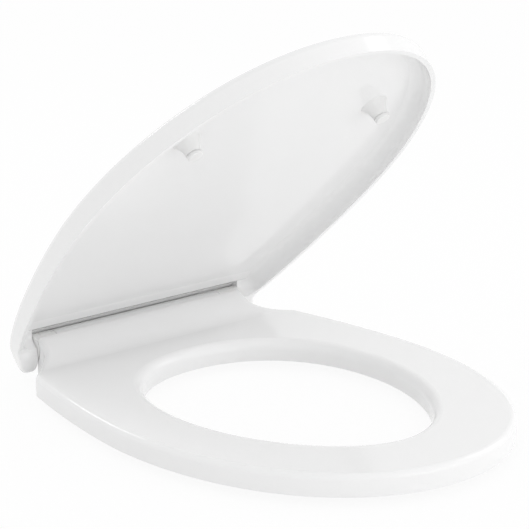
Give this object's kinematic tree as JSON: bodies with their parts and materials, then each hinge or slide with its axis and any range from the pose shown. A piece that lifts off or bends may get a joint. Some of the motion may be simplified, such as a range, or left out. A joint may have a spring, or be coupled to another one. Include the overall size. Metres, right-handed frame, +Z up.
{
  "type": "toilet seat",
  "caption": "Oval toilet seat ring with a matching dished lid, both turning on damped hinge posts that bolt to the pan.",
  "frame": {"origin": "midway between the two fixings, on the top face of the pan", "axes": "+Z up, +X to the right as seen from the front, the seat's nose towards -Y"},
  "size_m": [0.358, 0.478, 0.3642],
  "materials": {
    "seat_white": "high gloss moulded",
    "buffer_rubber": "satin moulded",
    "post_plastic": "satin moulded",
    "damper_grey": "matt moulded",
    "shaft_steel": "ground",
    "bush_plastic": "matt moulded",
    "seal_rubber": "matt moulded"
  },
  "bodies": {
    "mounting": {"hinge_post_left": "post_plastic", "hinge_post_right": "post_plastic", "damper_body_left": "damper_grey", "damper_body_right": "damper_grey", "base_gasket_left": "seal_rubber", "base_gasket_right": "seal_rubber", "cover_cap_left": "seat_white", "cover_cap_right": "seat_white", "damper_cap_left": "damper_grey", "damper_cap_right": "damper_grey"},
    "seat": {"seat_ring": "seat_white", "seat_buffer_front_left": "buffer_rubber", "seat_buffer_front_right": "buffer_rubber", "seat_buffer_rear_left": "buffer_rubber", "seat_buffer_rear_right": "buffer_rubber", "seat_bush_right": "bush_plastic", "damper_shaft_left": "shaft_steel"},
    "lid": {"lid": "seat_white", "lid_buffer_left": "buffer_rubber", "lid_buffer_right": "buffer_rubber", "lid_bush_left": "bush_plastic", "damper_shaft_right": "shaft_steel"}
  },
  "joints": [
    {"name": "seat_hinge", "type": "hinge", "parent": "mounting", "child": "seat", "pos_m": [0, 0.032, 0.0325], "axis": [-1, 0, 0], "range_deg": [0, 95]},
    {"name": "lid_hinge", "type": "hinge", "parent": "seat", "child": "lid", "pos_m": [0, 0.032, 0.0325], "axis": [-1, 0, 0], "range_deg": [-45, 55]}
  ]
}
